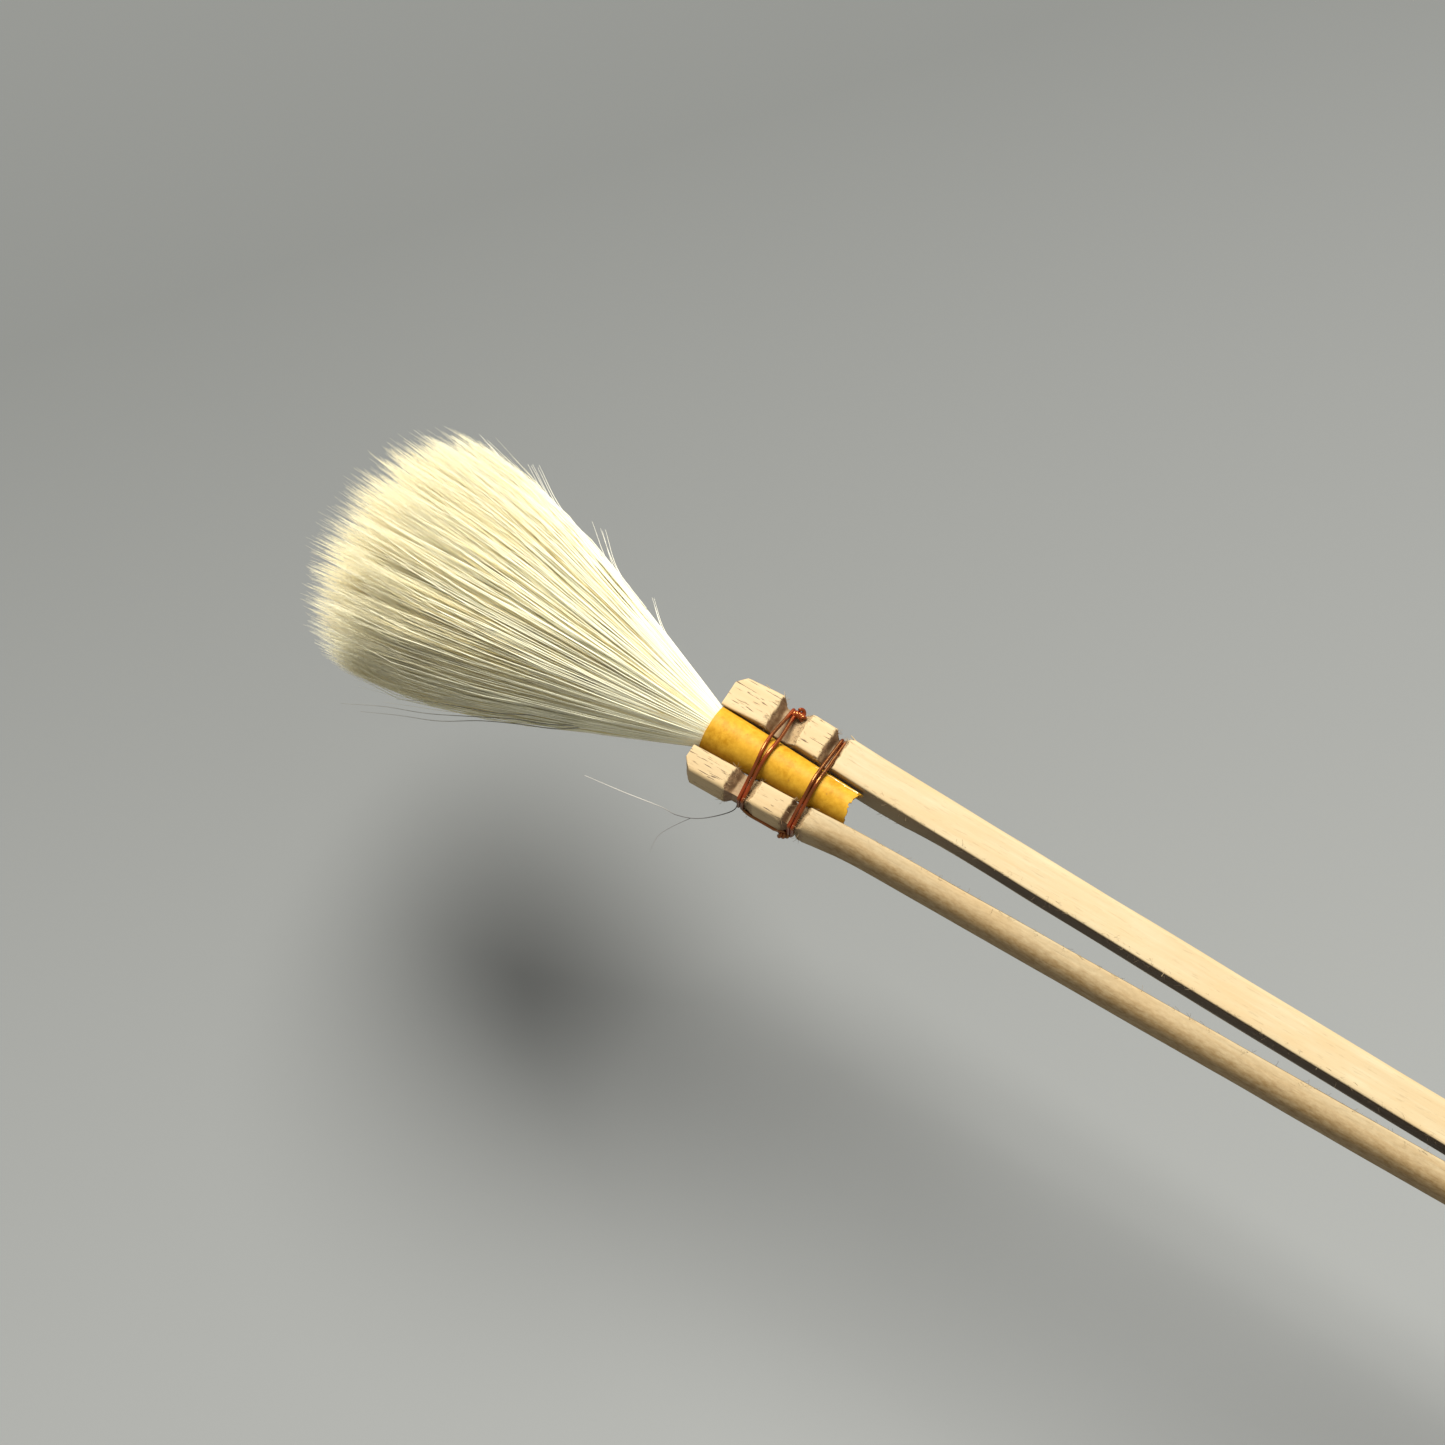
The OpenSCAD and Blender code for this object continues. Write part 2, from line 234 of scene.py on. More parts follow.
def prong_mesh(verts, faces, marks, spec):
    stations = list(np.arange(0, 19 * MM, 0.14 * MM)) + list(np.arange(19 * MM, fork_front, 0.8 * MM))
    stations.append(fork_front)
    first = len(verts)
    count = 0
    for s in stations:
        width = prong_width(s, spec)
        squared = max(0, min(1, (22 * MM - s) / (9 * MM)))
        ring = section(width, spec["high"], spec["bend"] + (0.6 * MM - spec["bend"]) * squared,
                       inner_bend + (2.4 * MM - inner_bend) * (1 - fade(s, 23 * MM, 36 * MM))
                       * fade(s, 140 * MM, split_at))
        inside = prong_inside(s, spec)
        hollow = sleeve_radius(s) + 0.04 * MM if s < sleeve_long + 0.6 * MM else 0
        count = len(ring)
        for y, z in ring:
            place = Vector((s, y * spec["side"], z)) * 1000
            rough = noise.noise(place * 0.9 + Vector((spec["side"] * 7, 0, 0)))
            rough += 0.7 * noise.noise(place * 2.6)
            along = s + 0.24 * MM * rough
            deep, end_grain_and_shade = notch_at(along, spec, notch_depth)
            deep_side = notch_at(along, spec, spec["side_depth"], side_run_more)[0]
            bevel = bevel_wide * max(0, 1 - (s + 0.1 * MM * rough) / bevel_long)
            limit_y = min(width - deep_side, width - bevel)
            new_y = min(y, limit_y)
            new_z = min(max(z, top_z - spec["high"] + deep), top_z - deep)
            carved = abs(new_z - z) > 0.05 * MM or y - new_y > 0.05 * MM
            cut = max(end_grain_and_shade, 0.4) if carved else 0.0
            fibre = noise.noise(Vector((place.x * 0.12, place.y * 2.2, place.z * 2.2)))
            swell = noise.noise(Vector((place.x * 0.05, spec["side"] * 3, 0)))
            inwards = -1 if y > width / 2 else 1
            amount = (0.12 if cut else 0.05) * MM
            new_y += inwards * amount * fibre + 0.05 * MM * swell
            new_z -= abs(amount * fibre)
            edge = max(0, max(1 - abs(s - mark * MM) / (0.35 * MM) for row in spec["notches"]
                              for mark in (row[0], sum(row) - 0.3)))
            split_edge = y < 0.5 * MM and abs(abs(z - top_z + spec["high"] / 2) - spec["high"] / 2) < 0.5 * MM
            clear = math.sqrt(max(0, hollow ** 2 - new_z ** 2))
            verts.append((fork_front - s, spec["side"] * max(inside + new_y, clear), new_z))
            marks["cut"].append(cut)
            marks["fray"].append(max(edge, 0.3 if split_edge and s > grip_end else 0.0))
            marks["split"].append(1.0 if y < 0.1 * MM else 0.0)
            # The narrow prong's outer surface gets a browner skin colour, weaker where the front was carved
            # bare; its growth towards the outer side, which faces away from the lamp, is painted shade.
            bared = 1 - 0.75 * fade(s, 11 * MM, 22 * MM)
            marks["skin_and_shade"].append(min(1.0, 0.3 + 0.9 * y / width) * bared if spec["side"] > 0 else 0.0)
    flip = spec["side"] < 0
    for i in range(len(stations) - 1):
        for j in range(count):
            k = (j + 1) % count
            here, there = first + i * count, first + (i + 1) * count
            quad = (here + j, here + k, there + k, there + j)
            faces.append(quad if flip else quad[::-1])
    ring = list(range(first, first + count))
    faces.append(ring[::-1] if flip else ring)
    ring = list(range(first + (len(stations) - 1) * count, first + len(stations) * count))
    faces.append(ring if flip else ring[::-1])


def add_box(verts, faces, low, high):
    first = len(verts)
    verts += [(x, y, z) for x in (low[0], high[0]) for y in (low[1], high[1]) for z in (low[2], high[2])]
    faces += [tuple(first + i for i in quad) for quad in
              ((0, 1, 3, 2), (4, 6, 7, 5), (0, 4, 5, 1), (2, 3, 7, 6), (0, 2, 6, 4), (1, 5, 7, 3))]


def link_object(name, mesh):
    made = bpy.data.objects.new(name, mesh)
    bpy.context.scene.collection.objects.link(made)
    return made


def fix_normals(mesh):
    shape = bmesh.new()
    shape.from_mesh(mesh)
    bmesh.ops.recalc_face_normals(shape, faces=shape.faces)
    shape.to_mesh(mesh)
    shape.free()


def new_material(name):
    made = bpy.data.materials.new(name)
    made.use_nodes = True
    return made, made.node_tree, made.node_tree.nodes["Principled BSDF"]


def add(tree, kind, inputs=None, **settings):
    made = tree.nodes.new(kind)
    for key, value in settings.items():
        setattr(made, key, value)
    for key, value in (inputs or {}).items():
        if isinstance(value, bpy.types.NodeSocket):
            tree.links.new(value, made.inputs[key])
        else:
            made.inputs[key].default_value = value
    return made


def calc(tree, operation, *values):
    return add(tree, "ShaderNodeMath", dict(enumerate(values)), operation=operation).outputs[0]


def blend_colours(tree, share, first, second, blend_type="MIX"):
    made = add(tree, "ShaderNodeMix", {"Factor": share}, data_type="RGBA", blend_type=blend_type)
    for socket, value in ((made.inputs[6], first), (made.inputs[7], second)):
        if isinstance(value, bpy.types.NodeSocket):
            tree.links.new(value, socket)
        else:
            socket.default_value = (*value, 1)
    return made.outputs[2]


def ramp(tree, value, low, high):
    return add(tree, "ShaderNodeMapRange", {"Value": value, "From Min": low, "From Max": high}).outputs[0]


stick_verts, stick_faces = [], []
marks = {"cut": [], "fray": [], "split": [], "skin_and_shade": []}
for spec in prongs.values():
    prong_mesh(stick_verts, stick_faces, marks, spec)
web_top = top_z - inner_bend - 0.1 * MM
add_box(stick_verts, stick_faces, (0.05 * MM, -kerf / 2 - 0.3 * MM, top_z - 4.8 * MM),
        (fork_front - split_at, kerf / 2 + 0.3 * MM, web_top))
stick_mesh = bpy.data.meshes.new("split_stick")
stick_mesh.from_pydata(stick_verts, [], stick_faces)
for mark, values in marks.items():
    stick_mesh.attributes.new(mark, "FLOAT", "POINT").data.foreach_set("value", values + [0.0] * 8)
fix_normals(stick_mesh)
stick_mesh.shade_smooth()
stick = link_object("split_stick", stick_mesh)

# One shared mottle: stretched noise as a mask, used by every material that has a grain or cloud.
mottle_group = bpy.data.node_groups.new("stretched_mottle", "ShaderNodeTree")
for label, kind, value in (("Vector", "NodeSocketVector", (0, 0, 0)), ("Along", "NodeSocketFloat", 60.0),
                           ("Across", "NodeSocketFloat", 1400.0), ("Detail", "NodeSocketFloat", 4.0),
                           ("Roughness", "NodeSocketFloat", 0.5)):
    mottle_group.interface.new_socket(label, in_out="INPUT", socket_type=kind).default_value = value
mottle_group.interface.new_socket("Mask", in_out="OUTPUT", socket_type="NodeSocketFloat")
given = mottle_group.nodes.new("NodeGroupInput").outputs
spacing = add(mottle_group, "ShaderNodeCombineXYZ", {
    0: given["Along"], 1: given["Across"], 2: given["Across"]}).outputs[0]
drawn_out = add(mottle_group, "ShaderNodeVectorMath", {0: given["Vector"], 1: spacing},
                operation="MULTIPLY").outputs[0]
cloudy = add(mottle_group, "ShaderNodeTexNoise", {
    "Vector": drawn_out, "Scale": 1.0, "Detail": given["Detail"], "Roughness": given["Roughness"]}).outputs[0]
mottle_group.links.new(cloudy, mottle_group.nodes.new("NodeGroupOutput").inputs[0])


def mottle_mask(tree, place, along, across, detail, roughness=0.5):
    return add(tree, "ShaderNodeGroup", {"Vector": place, "Along": along, "Across": across, "Detail": detail,
                                         "Roughness": roughness}, node_tree=mottle_group).outputs["Mask"]


wood, tree, shader = new_material("raw_wood")
place = add(tree, "ShaderNodeTexCoord").outputs["Object"]
grain = mottle_mask(tree, place, 60.0, 1400.0, 6.0, 0.6)
broad = mottle_mask(tree, place, 130.0, 330.0, 3.0)
fleck = mottle_mask(tree, place, 480.0, 5200.0, 2.0)
fleck_mask = ramp(tree, fleck, 0.635, 0.70)
cut_mask, split_mask, skin_and_shade_mask = [add(tree, "ShaderNodeAttribute", attribute_name=mark).outputs["Fac"]
                                   for mark in ("cut", "split", "skin_and_shade")]
rough = mottle_mask(tree, place, 900.0, 2400.0, 5.0, 0.7)
along_stick = add(tree, "ShaderNodeSeparateXYZ", {0: place}).outputs[0]
near_ties = ramp(tree, along_stick, fork_front - 19 * MM, fork_front - 15 * MM)
fleck_share = calc(tree, "MULTIPLY", fleck_mask, calc(
    tree, "ADD", calc(tree, "MULTIPLY", near_ties, 0.75), 0.15))
colour = blend_colours(tree, ramp(tree, grain, 0.3, 0.7), (0.49, 0.405, 0.245), (0.445, 0.33, 0.175))
broad_share = calc(tree, "MULTIPLY", ramp(tree, broad, 0.42, 0.66), 0.5)
colour = blend_colours(tree, broad_share, colour, (0.47, 0.335, 0.165))
colour = blend_colours(tree, calc(tree, "MULTIPLY", near_ties, 0.45), colour, (0.52, 0.365, 0.18))
# Browner skin on the narrow prong: the brown is the wood's own, and the extra darkening towards its outer
# side is painted shade.
skin_and_shade_share = calc(tree, "MULTIPLY", skin_and_shade_mask, calc(
    tree, "ADD", calc(tree, "MULTIPLY", ramp(tree, rough, 0.35, 0.65), 0.4), 0.58))
colour = blend_colours(tree, skin_and_shade_share, colour, (0.20, 0.118, 0.034))
colour = blend_colours(tree, fleck_share, colour, (0.08, 0.045, 0.02))
# Knife-cut faces are darker brown: partly end-grain colour, partly painted shade on the walls that face the
# rear.
cut_grain_and_shade_share = calc(tree, "MULTIPLY", cut_mask, calc(tree, "ADD", rough, 0.4))
colour = blend_colours(tree, cut_grain_and_shade_share, colour, (0.18, 0.095, 0.040))
# Painted shade: the split faces between the prongs, which face each other, are coloured near-black, more so
# further back along the split.
split_shade_depth = add(tree, "ShaderNodeMapRange", {
    "Value": along_stick, "From Min": fork_front - 24 * MM, "From Max": fork_front - 42 * MM,
    "To Min": 0.45, "To Max": 0.92}).outputs[0]
colour = blend_colours(tree, calc(tree, "MULTIPLY", split_mask, split_shade_depth), colour, (0.06, 0.038, 0.018))
tree.links.new(colour, shader.inputs["Base Color"])
shader.inputs["Roughness"].default_value = 0.72
height = calc(tree, "SUBTRACT", calc(tree, "ADD", grain, calc(tree, "MULTIPLY", rough, 0.5)),
              calc(tree, "MULTIPLY", fleck_share, 1.2))
bump = add(tree, "ShaderNodeBump", {"Height": height, "Strength": 0.6, "Distance": 0.06 * MM}).outputs[0]
tree.links.new(bump, shader.inputs["Normal"])
stick_mesh.materials.append(wood)
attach(stick, "handle")
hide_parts("split_handle")


# ---- Raised fibres on the stick ----
# Where the knife and the split broke the wood's grain, short loose fibres stand off the edges.
# They are part of the stick's own wood.
def make_group(name, sizes):
    tree = bpy.data.node_groups.new(name, "GeometryNodeTree")
    tree.interface.new_socket("Geometry", in_out="INPUT", socket_type="NodeSocketGeometry")
    for label, (kind, value) in sizes.items():
        tree.interface.new_socket(label, in_out="INPUT", socket_type=kind).default_value = value
    tree.interface.new_socket("Geometry", in_out="OUTPUT", socket_type="NodeSocketGeometry")
    return tree, tree.nodes.new("NodeGroupInput").outputs, tree.nodes.new("NodeGroupOutput")


def grow(name, tree, sizes, base=None):
    carrier = link_object(name + "_seed", base or bpy.data.meshes.new(name + "_seed"))
    modifier = carrier.modifiers.new("grow", "NODES")
    modifier.node_group = tree
    for item in tree.interface.items_tree:
        if item.item_type == "SOCKET" and item.in_out == "INPUT" and item.name in sizes:
            modifier[item.identifier] = sizes[item.name]
    graph = bpy.context.evaluated_depsgraph_get()
    mesh = bpy.data.meshes.new_from_object(carrier.evaluated_get(graph), preserve_all_data_layers=True,
                                           depsgraph=graph)
    bpy.data.objects.remove(carrier)
    mesh.name = name
    return link_object(name, mesh)


FLOAT, WHOLE = "NodeSocketFloat", "NodeSocketInt"
tree, size, result = make_group("raised_fibres", {
    "Fibres Per Square Metre": (FLOAT, 2.6e7), "Shortest": (FLOAT, 0.25), "Longest": (FLOAT, 1.0),
    "Fibre Length": (FLOAT, 0.9 * MM), "Fibre Radius": (FLOAT, 0.021 * MM), "Seed": (WHOLE, 5)})
fray = add(tree, "GeometryNodeInputNamedAttribute", {"Name": "fray"}, data_type="FLOAT").outputs[0]
density = calc(tree, "MULTIPLY", size["Fibres Per Square Metre"], calc(tree, "POWER", fray, 2.0))
scatter = add(tree, "GeometryNodeDistributePointsOnFaces", {
    "Mesh": size["Geometry"], "Density": density, "Seed": size["Seed"]}).outputs
outwards = add(tree, "ShaderNodeVectorMath", {0: scatter["Normal"], 1: (0.55, 0.55, 0.55)},
               operation="MULTIPLY").outputs[0]
strewn = add(tree, "FunctionNodeRandomValue", {
    0: (-1.6, -0.5, -0.5), 1: (1.6, 0.5, 0.5), "Seed": size["Seed"]}, data_type="FLOAT_VECTOR").outputs[0]
lie = add(tree, "ShaderNodeVectorMath", {0: outwards, 1: strewn}, operation="ADD").outputs[0]
turned = add(tree, "FunctionNodeAlignRotationToVector", {"Vector": lie}, axis="Z").outputs[0]
stem = add(tree, "GeometryNodeCurvePrimitiveBezierSegment", {
    "Resolution": 3, "Start": (0, 0, 0), "Start Handle": (0, 0, 0.35), "End Handle": (0.1, 0, 0.7),
    "End": (0.28, 0.05, 0.95)}).outputs[0]
slim = calc(tree, "DIVIDE", size["Fibre Radius"], size["Fibre Length"])
outline = add(tree, "GeometryNodeCurvePrimitiveCircle", {"Resolution": 3, "Radius": slim}).outputs[0]
fibre = add(tree, "GeometryNodeCurveToMesh", {"Curve": stem, "Profile Curve": outline}).outputs[0]
long = add(tree, "FunctionNodeRandomValue", {2: size["Shortest"], 3: size["Longest"], "Seed": 9},
           data_type="FLOAT").outputs[1]
scale = calc(tree, "MULTIPLY", long, size["Fibre Length"])
spread = add(tree, "GeometryNodeInstanceOnPoints", {
    "Points": scatter["Points"], "Instance": fibre, "Rotation": turned, "Scale": scale}).outputs[0]
solid = add(tree, "GeometryNodeRealizeInstances", {"Geometry": spread}).outputs[0]
solid = add(tree, "GeometryNodeSetMaterial", {"Geometry": solid, "Material": wood}).outputs[0]
tree.links.new(solid, result.inputs[0])
raised = grow("raised_fibres", tree, {}, stick_mesh.copy())
torn_edge = -prong_edge(16.6 * MM, prongs["wide"])
shape = bmesh.new()
shape.from_mesh(raised.data)
splinters = ((17.3, 0.5, 1.1, -0.25, 1.5, 0.14), (17.0, 0.9, 0.8, -0.1, 1.7, 0.1),
             (16.9, 0.1, 0.9, -0.4, 1.3, 0.12), (17.5, 1.4, 0.7, 0.15, 1.85, 0.08),
             (3.9, -0.1, 0.5, -0.2, 1.9, 0.06), (12.4, 0.3, 0.6, -0.15, 1.9, 0.07))
for behind, out, long_x, turn_y, high, thick in splinters:
    root = Vector((fork_front - behind * MM, torn_edge + out * MM, high * MM))
    corners = [shape.verts.new(root + Vector(offset) * MM) for offset in (
        (-0.2, -thick, 0), (-0.2, thick, 0), (-0.2, 0, thick * 1.3),
        (long_x * 0.6, turn_y * 0.7 - thick * 0.6, 0.05),
        (long_x * 0.6, turn_y * 0.7 + thick * 0.6, 0.05), (long_x, turn_y, 0.12))]
    for a, b, c in ((0, 2, 1), (0, 1, 4), (0, 4, 3), (1, 2, 4), (2, 0, 3), (2, 3, 5), (2, 5, 4), (3, 4, 5)):
        shape.faces.new((corners[a], corners[b], corners[c])).material_index = 0
shape.to_mesh(raised.data)
shape.free()
raised.data.materials.clear()
raised.data.materials.append(wood)
raised.data.polygons.foreach_set("material_index", [0] * len(raised.data.polygons))
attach(raised, "handle")


# ---- Hair root, its thread and the resin behind it ----
# Inside the sleeve the hair is gripped as a plug, wound with waxed thread so that none pulls
# out, and its cut ends are sealed with resin. Little of this shows from outside.
for node_name, low, high, rough in (("hair_root", (0.80, 0.74, 0.52), (0.62, 0.52, 0.30), 0.6),
                                    ("root_thread", (0.42, 0.05, 0.04), (0.25, 0.03, 0.03), 0.5),
                                    ("root_plug", (0.30, 0.15, 0.05), (0.16, 0.07, 0.02), 0.25)):
    paint, tree, shader = new_material(node_name + "_finish")
    place = add(tree, "ShaderNodeTexCoord").outputs["Object"]
    mottle = mottle_mask(tree, place, 300.0, 3000.0, 4.0)
    tree.links.new(blend_colours(tree, mottle, low, high), shader.inputs["Base Color"])
    shader.inputs["Roughness"].default_value = rough
    bump = add(tree, "ShaderNodeBump", {"Height": mottle, "Strength": 0.4, "Distance": 0.05 * MM}).outputs[0]
    tree.links.new(bump, shader.inputs["Normal"])
    cad_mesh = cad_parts[node_name].data
    cad_mesh.materials.clear()
    cad_mesh.materials.append(paint)


# ---- Paper sleeve ----
# A strip of varnished golden paper rolled round the hair's root. Its free edge lies along the
# upper side by the wide prong, and its rear end is torn off slightly hollow.
paper = 0.3 * MM
seam_angle = math.radians(132)
lap = 0.10 * MM
around, lengthwise = 160, 90
rings_out, rings_in = [], []
for i in range(lengthwise + 1):
    share = i / lengthwise
    out_ring, in_ring = [], []
    for j in range(around + 1):
        angle = seam_angle + 2 * math.pi * j / around
        up = math.sin(angle)
        torn = 0.5 * MM * max(0, up) ** 2 + 1.9 * MM * max(0, -up - 0.1)
        torn += 0.34 * MM * noise.noise(Vector((math.cos(angle) * 4.3, up * 4.3, 4)))
        torn += 0.13 * MM * noise.noise(Vector((math.cos(angle) * 13, up * 13, 9)))
        front = 0.02 * MM * noise.noise(Vector((math.cos(angle) * 3, up * 3, 1)))
        back = share * (sleeve_long - torn) + (1 - share) * front
        radius = mouth_r + (rear_r - mouth_r) * back / sleeve_long - 0.02 * MM
        radius -= lap * (1 - j / around)
        x = sleeve_high.x - back
        crease = noise.noise(Vector((back * 260, math.cos(angle) * 2.1, up * 2.1)))
        fine = noise.noise(Vector((back * 1300, math.cos(angle) * 5, up * 5)))
        radius += 0.016 * MM * crease + 0.008 * MM * fine - 0.03 * MM
        out_ring.append((x, radius * math.cos(angle), radius * up))
        inner = radius - paper + lap * (1 - j / around)
        in_ring.append((x, inner * math.cos(angle), inner * up))
    rings_out.append(out_ring)
    rings_in.append(in_ring)
sleeve_verts = [p for ring in rings_out for p in ring] + [p for ring in rings_in for p in ring]
row = around + 1
inner_first = row * (lengthwise + 1)
sleeve_faces = []
for i in range(lengthwise):
    for j in range(around):
        a, b = i * row + j, (i + 1) * row + j
        sleeve_faces.append((a, a + 1, b + 1, b))
        sleeve_faces.append((inner_first + a, inner_first + b, inner_first + b + 1, inner_first + a + 1))
    for j in (0, around):
        a, b = i * row + j, (i + 1) * row + j
        sleeve_faces.append((a, b, inner_first + b, inner_first + a))
for i in (0, lengthwise):
    for j in range(around):
        a = i * row + j
        sleeve_faces.append((a, a + 1, inner_first + a + 1, inner_first + a))
sleeve_mesh = bpy.data.meshes.new("rolled_sleeve")
sleeve_mesh.from_pydata(sleeve_verts, [], sleeve_faces)
fix_normals(sleeve_mesh)
sleeve_mesh.shade_smooth()
sleeve_mesh.set_sharp_from_angle(angle=math.radians(50))
sleeve = link_object("rolled_sleeve", sleeve_mesh)

paper_finish, tree, shader = new_material("varnished_paper")
place = add(tree, "ShaderNodeTexCoord").outputs["Object"]
mottle = mottle_mask(tree, place, 1300.0, 1100.0, 6.0, 0.7)
cloud = mottle_mask(tree, place, 260.0, 260.0, 3.0)
speck = add(tree, "ShaderNodeTexVoronoi", {"Vector": place, "Scale": 420.0}).outputs["Distance"]
speck_mask = ramp(tree, speck, 0.07, 0.03)
colour = blend_colours(tree, ramp(tree, mottle, 0.36, 0.64), (0.57, 0.30, 0.020), (0.40, 0.185, 0.004))
cloud_share = calc(tree, "MULTIPLY", ramp(tree, cloud, 0.35, 0.7), 0.5)
colour = blend_colours(tree, cloud_share, colour, (0.60, 0.335, 0.027))
colour = blend_colours(tree, calc(tree, "MULTIPLY", speck_mask, 0.5), colour, (0.28, 0.12, 0.02))
tree.links.new(colour, shader.inputs["Base Color"])
shader.inputs["Roughness"].default_value = 0.5
shader.inputs["Specular IOR Level"].default_value = 0.16
shader.inputs["Coat Weight"].default_value = 0.04
shader.inputs["Coat Roughness"].default_value = 0.3
bump = add(tree, "ShaderNodeBump", {"Height": mottle, "Strength": 0.35, "Distance": 0.04 * MM}).outputs[0]
tree.links.new(bump, shader.inputs["Normal"])
sleeve_mesh.materials.append(paper_finish)
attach(sleeve, "handle")
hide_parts("paper_sleeve")


# ---- Glue along the sleeve's free edge ----
# A thin wavering line of clear glue that dried shiny where the paper's edge was stuck down.
def tube_mesh(name, paths, radii, sides, closed=False):
    verts, faces = [], []
    for path, radius in zip(paths, radii):
        points = [Vector(p) for p in path]
        count = len(points)
        first = len(verts)
        normal = None
        frames = []
        for i in range(count):
            ahead = points[(i + 1) % count] if closed or i < count - 1 else points[i]
            behind = points[i - 1] if closed or i > 0 else points[i]
            tangent = (ahead - behind).normalized()
            if normal is None:
                normal = tangent.orthogonal()
            normal = (normal - tangent * normal.dot(tangent)).normalized()
            frames.append((normal, tangent.cross(normal)))
        twist = 0
        if closed:
            tangent = (points[1] - points[-1]).normalized()
            carried = (frames[-1][0] - tangent * frames[-1][0].dot(tangent)).normalized()
            twist = math.atan2(carried.dot(frames[0][1]), carried.dot(frames[0][0]))
        for i, (p, (n, b)) in enumerate(zip(points, frames)):
            thick = radius(i / (count - 1)) if callable(radius) else radius
            for k in range(sides):
                a = 2 * math.pi * k / sides - twist * i / count
                verts.append(p + thick * (math.cos(a) * n + math.sin(a) * b))
        for i in range(count if closed else count - 1):
            for k in range(sides):
                a, b = first + i * sides, first + ((i + 1) % count) * sides
                faces.append((a + k, a + (k + 1) % sides, b + (k + 1) % sides, b + k))
        if not closed:
            faces.append([first + k for k in range(sides)][::-1])
            faces.append([first + (count - 1) * sides + k for k in range(sides)])
    mesh = bpy.data.meshes.new(name)
    mesh.from_pydata(verts, [], faces)
    fix_normals(mesh)
    mesh.shade_smooth()
    return mesh


glue_path = []
for i in range(60):
    share = i / 59
    x = sleeve_low.x + 0.35 * MM + share * 6.4 * MM
    back = sleeve_high.x - x
    radius = mouth_r + (rear_r - mouth_r) * back / sleeve_long
    angle = seam_angle + 0.05 * noise.noise(Vector((share * 6, 0, 0)))
    glue_path.append((x, radius * math.cos(angle), radius * math.sin(angle)))
glue_mesh = tube_mesh("seam_glue_line", [glue_path],
                      [lambda t: MM * (0.05 + 0.10 * (1 - t) ** 2
                                       + 0.02 * noise.noise(Vector((t * 14, 3, 0))))], 10)
glue = link_object("seam_glue_line", glue_mesh)
glue_finish, tree, shader = new_material("clear_glue")
place = add(tree, "ShaderNodeTexCoord").outputs["Object"]
cloud = mottle_mask(tree, place, 1500.0, 1500.0, 3.0)
colour = blend_colours(tree, cloud, (0.85, 0.66, 0.30), (0.62, 0.40, 0.09))
tree.links.new(colour, shader.inputs["Base Color"])
shader.inputs["Roughness"].default_value = 0.08
shader.inputs["Coat Weight"].default_value = 0.8
glue_mesh.materials.append(glue_finish)
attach(glue, "handle")
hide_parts("seam_glue")


# ---- Wire ties ----
# Red-brown enamelled copper wire, passed twice round both prongs in each pair of notches and
# pulled tight over the sleeve, with its ends twisted together and cut short.
wire_r = 0.25 * MM
lift = wire_r + 0.04 * MM


def taut_loop(s):
    bend = 0.1 * MM
    pins = []
    for name, order in (("narrow", (-1, 1)), ("wide", (1, -1))):
        spec = prongs[name]
        y = spec["side"] * (prong_edge(s, spec) - spec["side_depth"] - bend)
        levels = {1: top_z - notch_depth - bend, -1: top_z - spec["high"] + notch_depth + bend}
        pins += [(y, levels[way], bend + lift) for way in order]
        pins.append((0, 0 if name == "narrow" else 0.001 * MM, sleeve_radius(s) + lift))
    path = []
    for i, pin in enumerate(pins):
        turns = []
        for a, b in ((pins[i - 1], pin), (pin, pins[(i + 1) % len(pins)])):
            dy, dz = b[0] - a[0], b[1] - a[1]
            turns.append(math.atan2(dz, dy) - math.acos((a[2] - b[2]) / math.hypot(dy, dz)))
        sweep = (turns[1] - turns[0]) % (2 * math.pi)
        for k in range(17):
            angle = turns[0] + sweep * k / 16
            path.append((pin[0] + pin[2] * math.cos(angle), pin[1] + pin[2] * math.sin(angle)))
    dense = []
    for i, (y, z) in enumerate(path):
        y2, z2 = path[(i + 1) % len(path)]
        steps = max(1, int(math.hypot(y2 - y, z2 - z) / (0.15 * MM)))
        dense += [(y + (y2 - y) * k / steps, z + (z2 - z) * k / steps) for k in range(steps)]
    return dense


def tie_loops(s, wide_gap, narrow_gap, skew):
    loops = []
    path = taut_loop(s)
    reach = max(abs(y) for y, z in path)
    for way in (-1, 1):
        loop = []
        for y, z in path:
            spread = math.exp(-((y + 0.32 * reach) / (0.42 * reach)) ** 2)
            apart = narrow_gap + (wide_gap - narrow_gap) * spread
            drift = skew * max(0, y) / reach
            loop.append((fork_front - s + way * apart / 2 + drift, y, z))
        loops.append(loop)
    return loops


def twisted_pair(line, turns, steps):
    strands = []
    points = [Vector(p) for p in line]
    for phase in (0, math.pi):
        strand = []
        for i in range(steps + 1):
            t = i / steps
            at = t * (len(points) - 1)
            k = min(int(at), len(points) - 2)
            centre = points[k].lerp(points[k + 1], at - k)
            tangent = (points[k + 1] - points[k]).normalized()
            side = tangent.cross(Vector((0, 0, 1))).normalized()
            rise = side.cross(tangent)
            angle = phase + 2 * math.pi * turns * t
            strand.append(centre + 1.12 * wire_r * (math.cos(angle) * side + math.sin(angle) * rise))
        strands.append(strand)
    return strands


def arc_line(start, way, length, curl, steps=16):
    points, heading = [Vector(start)], Vector(way).normalized()
    turn_step = Matrix.Rotation(curl / steps, 3, "Z")
    for _ in range(steps):
        points.append(points[-1] + heading * length / steps)
        heading = turn_step @ heading
    return points


